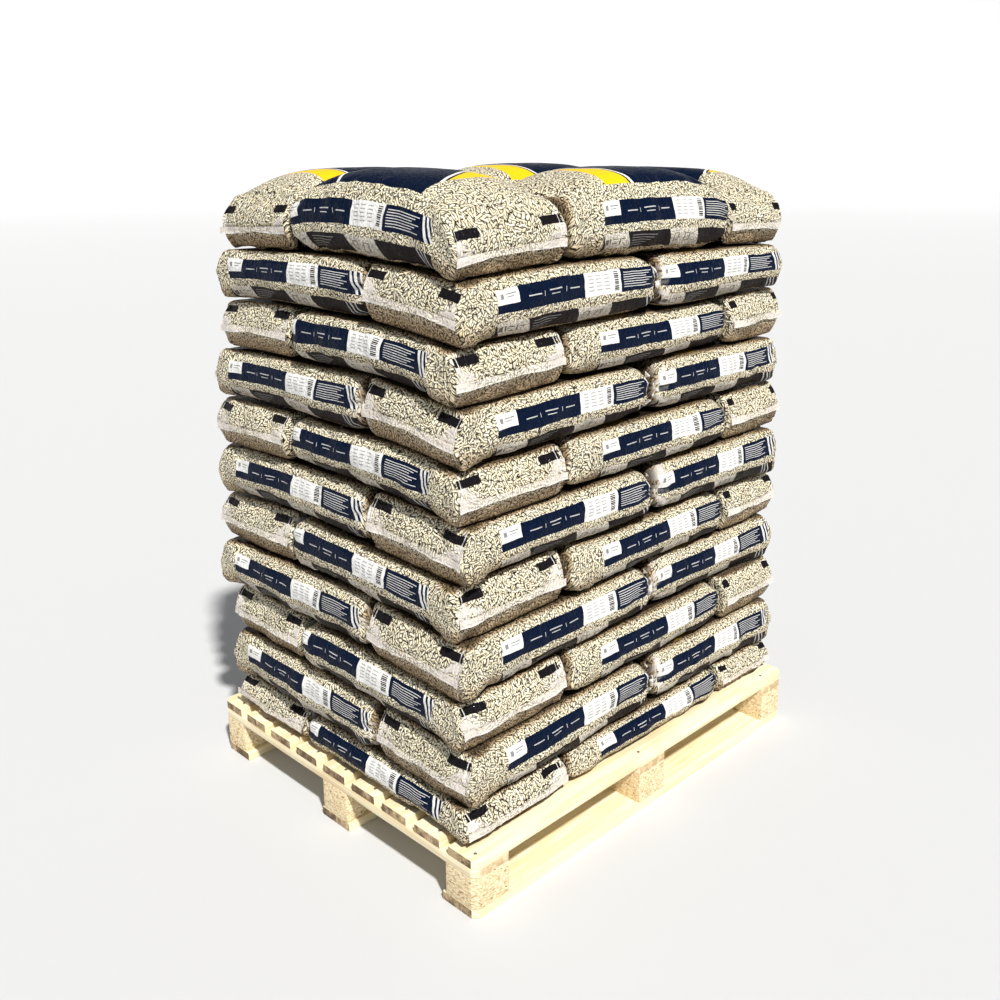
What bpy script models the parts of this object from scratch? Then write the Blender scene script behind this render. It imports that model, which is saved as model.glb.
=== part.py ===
"""A wooden pallet loaded with film sacks, eleven layers of six, each layer turned half round on the last.

The origin is the middle of the pallet's underside. The long side of the pallet lies along X, and Z is up.
"""
from collections import namedtuple

import bpy
import bmesh
from mathutils import Vector

# Pallet, in metres
PALLET_LENGTH = 1.200
PALLET_WIDTH = 1.000
BOARD_THICKNESS = 0.022
BLOCK_HEIGHT = 0.078
BLOCK_LENGTH = 0.100
BLOCK_WIDTH = 0.095
DECK_BOARD_COUNT = 9
DECK_BOARD_WIDTH = 0.087
CROSS_BOARD_WIDTH = 0.100
BOTTOM_BOARD_WIDTH = 0.108
CORNER_CUT = 0.015
TOUCH_GAP = 0.0003

# Load, in metres, the bottom layer first: a layer's height, length and width, and where its middle is
# The upper layers carry less, so their sacks are plumper and narrower than the squashed ones below.
Layer = namedtuple("Layer", "height length width x y")
LAYERS = (
    Layer(0.087, 1.156, 0.900, -0.003, -0.002),
    Layer(0.134, 1.156, 0.903, 0.002, 0.000),
    Layer(0.122, 1.156, 0.883, 0.000, -0.006),
    Layer(0.127, 1.156, 0.916, -0.004, 0.014),
    Layer(0.122, 1.156, 0.917, 0.000, 0.015),
    Layer(0.130, 1.136, 0.907, -0.006, 0.008),
    Layer(0.122, 1.148, 0.888, -0.006, 0.000),
    Layer(0.127, 1.127, 0.887, -0.011, 0.004),
    Layer(0.119, 1.148, 0.846, -0.004, -0.015),
    Layer(0.123, 1.117, 0.844, -0.010, -0.020),
    Layer(0.178, 1.112, 0.819, -0.012, -0.028),
)

# Sack section and swell, in metres
SHOULDER_RADIUS = 0.036
SHOULDER_SHARE_OF_HEIGHT = 0.35
SHOULDER_VARIATION = 0.001
SIDE_SWELL = 0.010
END_SWELL = 0.003
END_DROOP = 0.010
TOP_CROWN = 0.050
SACK_RINGS = 3
SHOULDER_STEPS = 2

# Cells of a layer as column from, column to, row from, row to, in sack widths
LAYER_CELLS = (
    (1, 3, 1, 2),
    (1, 3, 0, 1),
    (0, 1, 0, 2),
    (3, 4, 0, 2),
    (0, 2, 2, 3),
    (2, 4, 2, 3),
)
LAYER_COLUMNS = 4
LAYER_ROWS = 3

# Where the lines between the cells lie, as shares of the layer's length and width
# The sacks aren't quite alike once stacked, so the columns aren't even, nor the same in a turned layer.
COLUMN_LINES = (0.0, 0.275, 0.500, 0.800, 1.0)
TURNED_COLUMN_LINES = (0.0, 0.255, 0.543, 0.765, 1.0)
ROW_LINES = (0.0, 0.333, 0.668, 1.0)


def clear_scene():
    for item in list(bpy.data.objects):
        bpy.data.objects.remove(item, do_unlink=True)


def new_collection(name):
    made = bpy.data.collections.new(name)
    bpy.context.scene.collection.children.link(made)
    return made


def make_material(name, colour, roughness):
    made = bpy.data.materials.new(name)
    made.use_nodes = True
    shader = made.node_tree.nodes["Principled BSDF"]
    shader.inputs["Base Color"].default_value = (*colour, 1.0)
    shader.inputs["Roughness"].default_value = roughness
    shader.inputs["Metallic"].default_value = 0.0
    made.diffuse_color = (*colour, 1.0)
    return made


def place_object(bm, name, collection, material, location=(0.0, 0.0, 0.0)):
    mesh = bpy.data.meshes.new(name)
    bm.to_mesh(mesh)
    bm.free()
    mesh.materials.append(material)
    item = bpy.data.objects.new(name, mesh)
    item.location = location
    collection.objects.link(item)
    return item


# Pallet

def box_mesh(size):
    bm = bmesh.new()
    bmesh.ops.create_cube(bm, size=1.0)
    bmesh.ops.scale(bm, vec=Vector(size), verts=bm.verts)
    return bm


def cut_pallet_corners(bm, location):
    """Bevels the upright edges that lie on the pallet's own four corners."""
    corner = Vector((PALLET_LENGTH / 2, PALLET_WIDTH / 2))
    chosen = []
    for edge in bm.edges:
        first, second = (Vector(location) + vert.co for vert in edge.verts)
        upright = (first - second).xy.length < TOUCH_GAP
        if upright and (Vector((abs(first.x), abs(first.y))) - corner).length < TOUCH_GAP:
            chosen.append(edge)
    if chosen:
        bmesh.ops.bevel(bm, geom=chosen, offset=CORNER_CUT, segments=1, affect="EDGES")


def wooden_piece(name, size, location, collection, material):
    bm = box_mesh(size)
    cut_pallet_corners(bm, location)
    return place_object(bm, name, collection, material, location)


def spread(count, length, width):
    """Centres of like pieces spread evenly between two ends, the outer ones flush with them."""
    step = (length - width) / (count - 1)
    return [-(length - width) / 2 + step * index for index in range(count)]


def bottom_boards(collection, material):
    size = (PALLET_LENGTH, BOTTOM_BOARD_WIDTH, BOARD_THICKNESS)
    for index, y in enumerate(spread(3, PALLET_WIDTH, BOTTOM_BOARD_WIDTH)):
        place = (0.0, y, BOARD_THICKNESS / 2)
        wooden_piece(f"bottom_board_{index + 1}", size, place, collection, material)


def blocks(collection, material):
    size = (BLOCK_LENGTH, BLOCK_WIDTH, BLOCK_HEIGHT - 2 * TOUCH_GAP)
    z = BOARD_THICKNESS + BLOCK_HEIGHT / 2
    rows = spread(3, PALLET_WIDTH, BLOCK_WIDTH)
    columns = spread(3, PALLET_LENGTH, BLOCK_LENGTH)
    places = [(x, y, z) for y in rows for x in columns]
    for index, place in enumerate(places):
        wooden_piece(f"block_{index + 1}", size, place, collection, material)


def cross_boards(collection, material):
    size = (CROSS_BOARD_WIDTH, PALLET_WIDTH, BOARD_THICKNESS)
    z = BOARD_THICKNESS * 1.5 + BLOCK_HEIGHT
    for index, x in enumerate(spread(3, PALLET_LENGTH, CROSS_BOARD_WIDTH)):
        wooden_piece(f"cross_board_{index + 1}", size, (x, 0.0, z), collection, material)


def deck_boards(collection, material):
    size = (PALLET_LENGTH, DECK_BOARD_WIDTH, BOARD_THICKNESS - TOUCH_GAP)
    z = BOARD_THICKNESS * 2.5 + BLOCK_HEIGHT + TOUCH_GAP / 2
    for index, y in enumerate(spread(DECK_BOARD_COUNT, PALLET_WIDTH, DECK_BOARD_WIDTH)):
        wooden_piece(f"deck_board_{index + 1}", size, (0.0, y, z), collection, material)


# Load

def sack_mesh(length, width, height, shoulder, crown):
    """One sack along X: a box cage with rounded long edges, swollen sides and drooping ends.

    A sack with a crown lies on top of the load, so its upper side is free to rise in the middle.
    """
    bm = box_mesh((length, width, height))
    long_edges = [e for e in bm.edges if abs(e.verts[0].co.x - e.verts[1].co.x) > length / 2]
    bmesh.ops.subdivide_edges(bm, edges=long_edges, cuts=SACK_RINGS, use_grid_fill=True)
    rims = [e for e in bm.edges if abs(e.verts[0].co.x - e.verts[1].co.x) > TOUCH_GAP]
    bmesh.ops.bevel(
        bm, geom=rims, offset=shoulder, segments=SHOULDER_STEPS, profile=0.5, affect="EDGES"
    )
    if crown:
        bmesh.ops.bisect_plane(
            bm, geom=bm.verts[:] + bm.edges[:] + bm.faces[:], plane_co=(0, 0, 0), plane_no=(0, 1, 0)
        )
    for vert in bm.verts:
        along = abs(vert.co.x) / (length / 2)
        across = abs(vert.co.y) / (width / 2)
        up = abs(vert.co.z) / (height / 2)
        side = 1.0 if vert.co.y > 0 else -1.0
        end = 1.0 if vert.co.x > 0 else -1.0
        if across > 0.5:
            vert.co.y += side * SIDE_SWELL * (1 - along**2) * (1 - up**2)
        if vert.co.z > 0:
            vert.co.z += crown * (1 - along**2) * (1 - min(across, 1.0) ** 2)
        if along > 0.99:
            vert.co.x += end * END_SWELL
            vert.co.z *= 1 - END_DROOP / (height / 2)
    return bm


def layer_places(layer, turned):
    """Centre, length, width and heading of each sack in a layer, seen from above."""
    columns = [(share - 0.5) * layer.length for share in (TURNED_COLUMN_LINES if turned else COLUMN_LINES)]
    rows = [(share - 0.5) * layer.width for share in ROW_LINES]
    made = []
    for left, right, near, far in LAYER_CELLS:
        if turned:
            left, right = LAYER_COLUMNS - right, LAYER_COLUMNS - left
            near, far = LAYER_ROWS - far, LAYER_ROWS - near
        x, y = (columns[left] + columns[right]) / 2, (rows[near] + rows[far]) / 2
        along_x = right - left > far - near
        reach = columns[right] - columns[left], rows[far] - rows[near]
        made.append((x, y, max(reach), min(reach), along_x))
    return made


def sack_layer(number, base, layer, collection, cutters, material):
    """Six sacks as one solid: the first takes the other five in by union."""
    on_top = number == len(LAYERS) - 1
    crown = TOP_CROWN if on_top else 0.0
    body_height = layer.height - crown - TOUCH_GAP
    z = base + TOUCH_GAP + body_height / 2
    turned = number % 2 == 1
    first = None
    for index, (x, y, length, width, along_x) in enumerate(layer_places(layer, turned)):
        shoulder = min(SHOULDER_RADIUS, SHOULDER_SHARE_OF_HEIGHT * body_height)
        shoulder += SHOULDER_VARIATION * index
        bm = sack_mesh(length, width, body_height, shoulder, crown)
        if not along_x:
            bmesh.ops.rotate(bm, verts=bm.verts, matrix=QUARTER_TURN)
        place = (x + layer.x, y + layer.y, z)
        if first is None:
            first = place_object(bm, f"sack_layer_{number + 1:02d}", collection, material, place)
            continue
        other = place_object(bm, f"sack_{number + 1:02d}_{index + 1}", cutters, material, place)
        other.hide_render = True
        other.display_type = "WIRE"
        joined = first.modifiers.new(f"with_{other.name}", "BOOLEAN")
        joined.operation = "UNION"
        joined.solver = "EXACT"
        joined.object = other


def load(collection, cutters, material):
    base = BOARD_THICKNESS * 3 + BLOCK_HEIGHT
    for number, layer in enumerate(LAYERS):
        sack_layer(number, base, layer, collection, cutters, material)
        base += layer.height


QUARTER_TURN = Vector((1, 0, 0)).rotation_difference(Vector((0, 1, 0))).to_matrix()

clear_scene()
parts = new_collection("pallet_of_sacks")
cutters = new_collection("cutters")
softwood = make_material("bleached_softwood", (0.78, 0.66, 0.45), 0.75)
pressed_chips = make_material("pressed_wood_chips", (0.80, 0.65, 0.42), 0.85)
filled_film = make_material("printed_clear_film", (0.55, 0.50, 0.38), 0.30)
bottom_boards(parts, softwood)
blocks(parts, pressed_chips)
cross_boards(parts, softwood)
deck_boards(parts, softwood)
load(parts, cutters, filled_film)
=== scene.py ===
"""Looks of a pallet of film sacks: a wooden block pallet carrying eleven layers of sacks of wood pellets."""

import math
import random

import bmesh
import bpy
import numpy as np
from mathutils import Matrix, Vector


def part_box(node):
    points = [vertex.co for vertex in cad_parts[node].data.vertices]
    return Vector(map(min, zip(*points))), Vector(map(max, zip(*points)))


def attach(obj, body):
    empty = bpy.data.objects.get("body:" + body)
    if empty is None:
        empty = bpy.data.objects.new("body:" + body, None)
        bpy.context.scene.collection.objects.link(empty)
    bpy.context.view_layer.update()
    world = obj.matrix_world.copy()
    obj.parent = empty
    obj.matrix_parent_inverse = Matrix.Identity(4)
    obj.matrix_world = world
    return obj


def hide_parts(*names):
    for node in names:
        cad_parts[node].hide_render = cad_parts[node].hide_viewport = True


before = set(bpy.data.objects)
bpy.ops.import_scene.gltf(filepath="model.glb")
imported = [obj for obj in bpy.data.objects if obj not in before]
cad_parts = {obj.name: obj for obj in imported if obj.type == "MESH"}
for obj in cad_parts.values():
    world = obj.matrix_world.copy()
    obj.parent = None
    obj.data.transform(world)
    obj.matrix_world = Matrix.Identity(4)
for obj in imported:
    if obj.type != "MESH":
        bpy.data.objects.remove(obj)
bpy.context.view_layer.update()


# Camera
# The load is seen from above its near corner, with the pallet's long side on the right and its short side
# on the left. The small shift keeps the uprights as nearly parallel as they look in the photo.
camera_data = bpy.data.cameras.new("camera")
camera_data.sensor_width = 36.0
camera_data.lens = 38.8
camera_data.shift_x = -0.035
camera_data.shift_y = -0.07
camera = bpy.data.objects.new("camera", camera_data)
camera.location = (-1.911, -1.942, 1.601)
camera.rotation_euler = (math.radians(90 - 14.9), 0.0, math.radians(-45.96))
bpy.context.scene.collection.objects.link(camera)
bpy.context.scene.camera = camera


# Pallet boards and blocks
# Sawn softwood, bleached by the sun: nine deck boards and three bottom boards run along the pallet, three
# cross boards run over the blocks, and all are nailed together. Ends show the darker, speckled end grain.
WOOD_EDGE = 0.0016
WOOD_STEP = 0.030
WOOD_ROUGHNESS_DEPTH = 0.0007

collection = bpy.data.collections.new("pallet_of_sacks")
bpy.context.scene.collection.children.link(collection)


def add(tree, kind, *values, **settings):
    """Adds a node, sets its fields, and links or sets its first inputs in order."""
    made = tree.nodes.new(kind)
    for name, value in settings.items():
        setattr(made, name, value)
    for socket, value in zip(made.inputs, values):
        feed(tree, socket, value)
    return made


def feed(tree, socket, value):
    if isinstance(value, bpy.types.NodeSocket):
        tree.links.new(value, socket)
    elif value is not None:
        socket.default_value = value


def calc(tree, operation, *values):
    return add(tree, "ShaderNodeMath", *values, operation=operation).outputs[0]


def vector_calc(tree, operation, *values):
    return add(tree, "ShaderNodeVectorMath", *values, operation=operation).outputs[0]


def mix_colour(tree, factor, first, second):
    made = tree.nodes.new("ShaderNodeMix")
    made.data_type = "RGBA"
    feed(tree, made.inputs[0], factor)
    feed(tree, made.inputs[6], first)
    feed(tree, made.inputs[7], second)
    return made.outputs[2]


def step_between(tree, value, low, high):
    """Rises smoothly from 0 at low to 1 at high."""
    made = tree.nodes.new("ShaderNodeMapRange")
    made.interpolation_type = "SMOOTHSTEP"
    feed(tree, made.inputs["Value"], value)
    feed(tree, made.inputs["From Min"], low)
    feed(tree, made.inputs["From Max"], high)
    return made.outputs["Result"]


def noise(tree, vector, scale, detail=3.0, roughness=0.5):
    made = tree.nodes.new("ShaderNodeTexNoise")
    feed(tree, made.inputs["Vector"], vector)
    made.inputs["Scale"].default_value = scale
    made.inputs["Detail"].default_value = detail
    made.inputs["Roughness"].default_value = roughness
    return made.outputs["Fac"]


def new_material(name):
    made = bpy.data.materials.new(name)
    made.use_nodes = True
    return made, made.node_tree, made.node_tree.nodes["Principled BSDF"]


def bump(tree, height, distance, strength=1.0, normal=None):
    made = tree.nodes.new("ShaderNodeBump")
    made.inputs["Strength"].default_value = strength
    made.inputs["Distance"].default_value = distance
    feed(tree, made.inputs["Height"], height)
    feed(tree, made.inputs["Normal"], normal)
    return made.outputs["Normal"]


def wood_material(name, grain_axis, board_pitch, fresh_end, soiled_end):
    """Bleached long grain along one axis on the faces beside it, rough and soiled end grain on those across it."""
    material, tree, shader = new_material(name)
    coordinates = tree.nodes.new("ShaderNodeTexCoord")
    place = coordinates.outputs["Object"]
    split = add(tree, "ShaderNodeSeparateXYZ", place).outputs
    facing = add(tree, "ShaderNodeSeparateXYZ", coordinates.outputs["Normal"]).outputs
    row = calc(tree, "FLOOR", calc(tree, "DIVIDE", split[1 - grain_axis], board_pitch))
    level = calc(tree, "MULTIPLY", calc(tree, "GREATER_THAN", split[2], 0.06), 31.0)
    own = add(tree, "ShaderNodeTexWhiteNoise", noise_dimensions="1D")
    feed(tree, own.inputs["W"], calc(tree, "ADD", row, level))
    tone = own.outputs["Value"]
    shift = calc(tree, "MULTIPLY", tone, 3.0)
    long_scale, fibre_scale, knot_scale = [34.0] * 3, [300.0] * 3, [9.0] * 3
    long_scale[grain_axis], fibre_scale[grain_axis], knot_scale[grain_axis] = 1.4, 7.0, 2.6
    offset = add(tree, "ShaderNodeCombineXYZ", shift, shift, shift).outputs[0]
    grain_place = vector_calc(tree, "ADD", vector_calc(tree, "MULTIPLY", place, tuple(long_scale)), offset)
    wide = noise(tree, grain_place, 1.0, 4.0, 0.55)
    rings = calc(tree, "SINE", calc(tree, "MULTIPLY", wide, 30.0))
    fibres = noise(tree, vector_calc(tree, "MULTIPLY", place, tuple(fibre_scale)), 1.0, 3.0, 0.6)
    streak = step_between(tree, calc(tree, "MULTIPLY_ADD", rings, 0.30, fibres), 0.05, 0.85)
    colour = mix_colour(tree, streak, (0.84, 0.68, 0.41, 1), (0.95, 0.87, 0.64, 1))
    colour = mix_colour(tree, calc(tree, "MULTIPLY", tone, 0.30), colour, (0.86, 0.72, 0.46, 1))
    blotch = step_between(tree, noise(tree, place, 6.0, 3.0, 0.6), 0.52, 0.80)
    colour = mix_colour(tree, calc(tree, "MULTIPLY", blotch, 0.35), colour, (0.68, 0.46, 0.22, 1))
    knot = add(tree, "ShaderNodeTexVoronoi", voronoi_dimensions="3D")
    feed(tree, knot.inputs["Vector"], vector_calc(tree, "MULTIPLY", place, tuple(knot_scale)))
    knot.inputs["Scale"].default_value = 1.0
    knot_mask = calc(tree, "SUBTRACT", 1.0, step_between(tree, knot.outputs["Distance"], 0.04, 0.11))
    colour = mix_colour(tree, calc(tree, "MULTIPLY", knot_mask, 0.70), colour, (0.22, 0.10, 0.04, 1))
    end_face = step_between(tree, calc(tree, "ABSOLUTE", facing[grain_axis]), 0.78, 0.92)
    speckle = noise(tree, place, 380.0, 3.0, 0.7)
    soil = noise(tree, vector_calc(tree, "ADD", place, offset), 55.0, 5.0, 0.65)
    end_mix = calc(tree, "MULTIPLY_ADD", speckle, 0.45, calc(tree, "MULTIPLY_ADD", tone, 0.30, soil))
    end_colour = mix_colour(tree, step_between(tree, end_mix, 0.60, 1.00), fresh_end, soiled_end)
    colour = mix_colour(tree, end_face, colour, end_colour)
    feed(tree, shader.inputs["Base Color"], colour)
    shader.inputs["Roughness"].default_value = 0.78
    shader.inputs["Specular IOR Level"].default_value = 0.20
    height = calc(tree, "ADD", calc(tree, "MULTIPLY", fibres, 0.5), calc(tree, "MULTIPLY", soil, end_face))
    feed(tree, shader.inputs["Normal"], bump(tree, height, 0.0016, 0.7))
    return material


def pressed_chip_material():
    """Blocks pressed from wood chips: pale flakes of many tones, with dark pits between them."""
    material, tree, shader = new_material("pressed_wood_chips")
    place = tree.nodes.new("ShaderNodeTexCoord").outputs["Object"]
    warp = tree.nodes.new("ShaderNodeTexNoise")
    feed(tree, warp.inputs["Vector"], place)
    warp.inputs["Scale"].default_value = 160.0
    warped = vector_calc(tree, "ADD", place, vector_calc(tree, "MULTIPLY", warp.outputs["Color"], (0.006,) * 3))
    chips = add(tree, "ShaderNodeTexVoronoi", voronoi_dimensions="3D")
    feed(tree, chips.inputs["Vector"], vector_calc(tree, "MULTIPLY", warped, (190.0, 190.0, 480.0)))
    chips.inputs["Scale"].default_value = 1.0
    own = add(tree, "ShaderNodeSeparateColor", chips.outputs["Color"]).outputs
    colour = mix_colour(tree, step_between(tree, own[0], 0.0, 0.8), (0.68, 0.48, 0.25, 1), (0.97, 0.85, 0.58, 1))
    colour = mix_colour(tree, step_between(tree, own[1], 0.93, 0.97), colour, (0.34, 0.21, 0.10, 1))
    pits = noise(tree, place, 420.0, 3.0, 0.65)
    pitted = calc(tree, "SUBTRACT", 1.0, step_between(tree, pits, 0.28, 0.40))
    colour = mix_colour(tree, pitted, colour, (0.42, 0.28, 0.14, 1))
    feed(tree, shader.inputs["Base Color"], colour)
    shader.inputs["Roughness"].default_value = 0.85
    shader.inputs["Specular IOR Level"].default_value = 0.15
    height = calc(tree, "MULTIPLY_ADD", own[2], 0.5, pits)
    feed(tree, shader.inputs["Normal"], bump(tree, height, 0.0014, 0.8))
    return material


def sine_noise(points, size, seed, waves=7):
    """A smooth pattern from minus one to one, made of sine waves about size metres long in random directions."""
    draw = np.random.default_rng(seed)
    total = np.zeros(len(points))
    for _ in range(waves):
        direction = draw.normal(size=3)
        direction /= np.linalg.norm(direction)
        length = size * draw.uniform(0.6, 1.6)
        total += np.sin(points @ direction * (2 * math.pi / length) + draw.uniform(0, 2 * math.pi))
    return total / math.sqrt(waves * 2.0)


def dressed_board(node, material, seed):
    """A copy of the sawn solid with broken edges, cut into short lengths so that its faces can be uneven."""
    low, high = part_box(node)
    low, high = Vector(low), Vector(high)
    size = high - low
    axis = max(range(3), key=lambda i: size[i])
    bm = bmesh.new()
    bm.from_mesh(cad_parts[node].data)
    bmesh.ops.remove_doubles(bm, verts=bm.verts, dist=0.00001)
    bmesh.ops.dissolve_limit(bm, angle_limit=math.radians(1), verts=bm.verts, edges=bm.edges)
    bmesh.ops.bevel(bm, geom=bm.edges[:], offset=WOOD_EDGE, segments=2, profile=0.6, affect="EDGES")
    cuts = int(size[axis] / WOOD_STEP)
    for index in range(1, cuts):
        place = low.copy()
        place[axis] += size[axis] * index / cuts
        normal = Vector((0, 0, 0))
        normal[axis] = 1.0
        bmesh.ops.bisect_plane(bm, geom=bm.verts[:] + bm.edges[:] + bm.faces[:], plane_co=place, plane_no=normal)
    bm.normal_update()
    points = np.array([vert.co[:] for vert in bm.verts])
    uneven = 0.5 + 0.5 * sine_noise(points, 0.09, seed)
    chips = np.clip(sine_noise(points, 0.035, seed + 1) - 0.9, 0, 1)
    for vert, lower, chip in zip(bm.verts, uneven, chips):
        vert.co -= vert.normal * (WOOD_ROUGHNESS_DEPTH * min(max(lower, 0.0), 1.5) + 0.002 * chip)
    mesh = bpy.data.meshes.new(f"{node}_sawn")
    bm.to_mesh(mesh)
    bm.free()
    mesh.materials.append(material)
    mesh.shade_smooth()
    mesh.set_sharp_from_angle(angle=math.radians(35))
    board = bpy.data.objects.new(f"{node}_sawn", mesh)
    collection.objects.link(board)
    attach(board, "root")
    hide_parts(node)
    return board


board_wood = wood_material("long_board_wood", 0, 0.114, (0.66, 0.50, 0.30, 1), (0.15, 0.10, 0.06, 1))
cross_wood = wood_material("cross_board_wood", 1, 0.3, (0.93, 0.82, 0.57, 1), (0.55, 0.39, 0.21, 1))
block_wood = pressed_chip_material()
for number, node in enumerate(sorted(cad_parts)):
    if node.startswith(("deck", "bottom")):
        dressed_board(node, board_wood, number)
    elif node.startswith("cross"):
        dressed_board(node, cross_wood, number)
    elif node.startswith("block"):
        dressed_board(node, block_wood, number)


# Nails
# Flat wire nails of bright steel, driven two to a crossing through the deck boards into each block row, and up
# through the bottom boards. Their heads sit a hair proud of the wood, some a little askew.
NAIL_HEAD_RADIUS = 0.0042
NAIL_HEAD_HEIGHT = 0.0014
NAIL_SINK = 0.0007
NAIL_OFFSETS = ((-0.026, -0.018), (0.024, 0.020))
NAIL_TILT = 0.16


def nail_places():
    """Where the heads sit on the deck and under the bottom boards: a point each, and which way it faces."""
    made = []
    for cross in (f"cross_board_{number}" for number in (1, 2, 3)):
        low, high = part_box(cross)
        for board in sorted(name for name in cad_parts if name.startswith(("deck", "bottom"))):
            board_low, board_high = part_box(board)
            level = board_high[2] - NAIL_SINK if board.startswith("deck") else board_low[2] + 2 * NAIL_SINK
            for off_x, off_y in NAIL_OFFSETS:
                made.append(((low[0] + high[0]) / 2 + off_x, (board_low[1] + board_high[1]) / 2 + off_y, level))
    return made


def nail_tree():
    """A flat head set on every point, each turned and tilted a little by chance."""
    tree = bpy.data.node_groups.new("nail_heads", "GeometryNodeTree")
    tree.interface.new_socket("Geometry", in_out="INPUT", socket_type="NodeSocketGeometry")
    sizes = {"Head Radius": NAIL_HEAD_RADIUS, "Head Height": NAIL_HEAD_HEIGHT, "Tilt": NAIL_TILT}
    sockets = {
        name: tree.interface.new_socket(name, in_out="INPUT", socket_type="NodeSocketFloat") for name in sizes
    }
    tree.interface.new_socket("Geometry", in_out="OUTPUT", socket_type="NodeSocketGeometry")
    given = tree.nodes.new("NodeGroupInput").outputs
    head = tree.nodes.new("GeometryNodeMeshCone")
    head.inputs["Vertices"].default_value = 12
    head.inputs["Side Segments"].default_value = 1
    feed(tree, head.inputs["Radius Bottom"], given["Head Radius"])
    feed(tree, head.inputs["Radius Top"], calc(tree, "MULTIPLY", given["Head Radius"], 0.86))
    feed(tree, head.inputs["Depth"], given["Head Height"])
    askew = tree.nodes.new("FunctionNodeRandomValue")
    askew.data_type = "FLOAT_VECTOR"
    most = add(tree, "ShaderNodeCombineXYZ", given["Tilt"], given["Tilt"], 3.1).outputs[0]
    feed(tree, askew.inputs["Min"], vector_calc(tree, "MULTIPLY", most, (-1.0, -1.0, -1.0)))
    feed(tree, askew.inputs["Max"], most)
    askew.inputs["Seed"].default_value = 5
    placed = tree.nodes.new("GeometryNodeInstanceOnPoints")
    feed(tree, placed.inputs["Points"], given["Geometry"])
    feed(tree, placed.inputs["Instance"], head.outputs["Mesh"])
    feed(tree, placed.inputs["Rotation"], askew.outputs["Value"])
    real = tree.nodes.new("GeometryNodeRealizeInstances")
    feed(tree, real.inputs["Geometry"], placed.outputs["Instances"])
    finish = tree.nodes.new("GeometryNodeSetMaterial")
    feed(tree, finish.inputs["Geometry"], real.outputs["Geometry"])
    finish.inputs["Material"].default_value = nail_steel
    feed(tree, tree.nodes.new("NodeGroupOutput").inputs["Geometry"], finish.outputs["Geometry"])
    return tree, {sockets[name].identifier: value for name, value in sizes.items()}


nail_steel, steel_tree, steel_shader = new_material("weathered_nail_steel")
rust = noise(steel_tree, steel_tree.nodes.new("ShaderNodeTexCoord").outputs["Object"], 900.0, 3.0, 0.6)
steel_colour = mix_colour(steel_tree, step_between(steel_tree, rust, 0.40, 0.65), (0.42, 0.41, 0.40, 1), (0.20, 0.10, 0.05, 1))
feed(steel_tree, steel_shader.inputs["Base Color"], steel_colour)
feed(steel_tree, steel_shader.inputs["Normal"], bump(steel_tree, rust, 0.0002, 0.6))
steel_shader.inputs["Metallic"].default_value = 0.7
steel_shader.inputs["Roughness"].default_value = 0.42

nail_points = bpy.data.meshes.new("nail_points")
nail_points.from_pydata(nail_places(), [], [])
nail_seed = bpy.data.objects.new("nail_seed", nail_points)
collection.objects.link(nail_seed)
spread_nails = nail_seed.modifiers.new("heads", "NODES")
spread_nails.node_group, nail_sizes = nail_tree()
for identifier, value in nail_sizes.items():
    spread_nails[identifier] = value
bpy.context.view_layer.update()
evaluated = nail_seed.evaluated_get(bpy.context.evaluated_depsgraph_get())
nail_mesh = bpy.data.meshes.new_from_object(evaluated)
bpy.data.objects.remove(nail_seed, do_unlink=True)
nail_mesh.shade_smooth()
nail_mesh.set_sharp_from_angle(angle=math.radians(35))
nails = bpy.data.objects.new("nail_heads", nail_mesh)
collection.objects.link(nails)
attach(nails, "root")


# Sacks
# Clear film tubes filled with cream wood pellets, welded across both ends, with a navy and white band printed
# along each side and a panel on top. Each lies flat on the layer below and bulges where nothing holds it.
# Shade is painted into the sacks' colour too: tan and darker towards each sack's underside, dark in the crevices and
# joints, and dark between the pellets.
LAYER_CELLS = (
    (1, 3, 1, 2),
    (1, 3, 0, 1),
    (0, 1, 0, 2),
    (3, 4, 0, 2),
    (0, 2, 2, 3),
    (2, 4, 2, 3),
)
LAYER_COLUMNS = 4
LAYER_ROWS = 3
COLUMN_LINES = ((0.0, 0.275, 0.50, 0.800, 1.0), (0.0, 0.255, 0.543, 0.765, 1.0))
ROW_LINES = (0.0, 0.333, 0.668, 1.0)
PRINT_DRIFT = ((0.0, 0.065, -0.045, 0.0, 0.0, 0.0), (0.0, 0.0, 0.0, 0.026, -0.003, 0.056))
FILM_LOOSENESS = ((0.0, 0.25, 0.25, 0.4, 0.4, 0.6), (0.0, 0.4, 0.4, 0.85, 1.2, 0.3))
PELLET_RADIUS = 0.0031
PELLET_END = 0.0014
LOOSE_CELL = 0.0150
PACKED_CELL = (0.0122, 0.0064, 1.0)
PACKED_PATCH = 0.030
SACK_LENGTH = 0.578
HALF_GIRTH = 0.366
PRINT_LENGTH = 0.500
PRINT_STRETCH = 0.4
UPPER_BAND = (0.146, 0.192)
LOWER_BAND = (0.210, 0.248)
TOP_PANEL = (-0.150, 0.215, 0.112)

NAVY = (0.0015, 0.0065, 0.024, 1)
DARK_INK = (0.011, 0.008, 0.010, 1)
WHITE_INK = (0.80, 0.80, 0.79, 1)
YELLOW_INK = (0.90, 0.56, 0.01, 1)
MILKY_FILM = (0.66, 0.62, 0.60, 1)
# Colour of the painted shade in the crevices between layers, at hidden joints and towards the sacks' undersides.
CREVICE_SHADE = (0.020, 0.012, 0.006, 1)


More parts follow.
